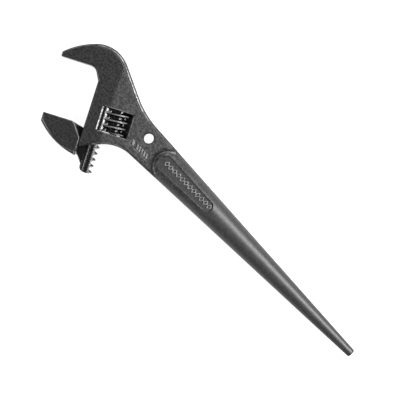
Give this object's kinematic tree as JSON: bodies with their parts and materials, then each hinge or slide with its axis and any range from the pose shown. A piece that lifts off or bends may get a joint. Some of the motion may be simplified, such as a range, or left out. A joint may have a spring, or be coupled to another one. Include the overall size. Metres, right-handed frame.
{
  "type": "adjustable wrench",
  "caption": "Open-jaw adjustable wrench with a round tapered handle, a tether hole, and a sliding jaw on a toothed rail driven by a threaded knurl.",
  "frame": {"origin": "centre of the handle's tail end, on the handle's axis and in the middle of the thickness", "axes": "+X along the handle's axis towards the jaws, +Y towards the side of the head where the movable jaw is, +Z square to the flat sides of the head"},
  "size_m": [0.2579, 0.0677, 0.022],
  "materials": {
    "forged_steel": "black industrial finish, satin on the ground faces and rough on the forged ones",
    "jaw_steel": "black industrial finish, satin",
    "knurl_steel": "black, semi-gloss",
    "pin_steel": "blackened screw, satin",
    "spring_steel": "bright spring wire"
  },
  "bodies": {
    "body": {"wrench_body": "forged_steel", "knurl_pin": "pin_steel", "knurl_spring": "spring_steel"},
    "knurl": {"adjusting_knurl": "knurl_steel"},
    "jaw": {"movable_jaw": "jaw_steel"}
  },
  "joints": [
    {"name": "knurl_spin", "type": "hinge", "parent": "body", "child": "knurl", "pos_m": [0.2038, 0.0042, 0], "axis": [-0.4695, 0.8829, 0], "range_deg": [0, 3265]},
    {"name": "jaw_slide", "type": "slide", "parent": "body", "child": "jaw", "axis": [0.4695, -0.8829, 0], "range_m": [0, 0.036]}
  ],
  "couplings": [
    {"joint": "knurl_spin", "follows": "jaw_slide", "rad_per_m": 1582.7}
  ]
}
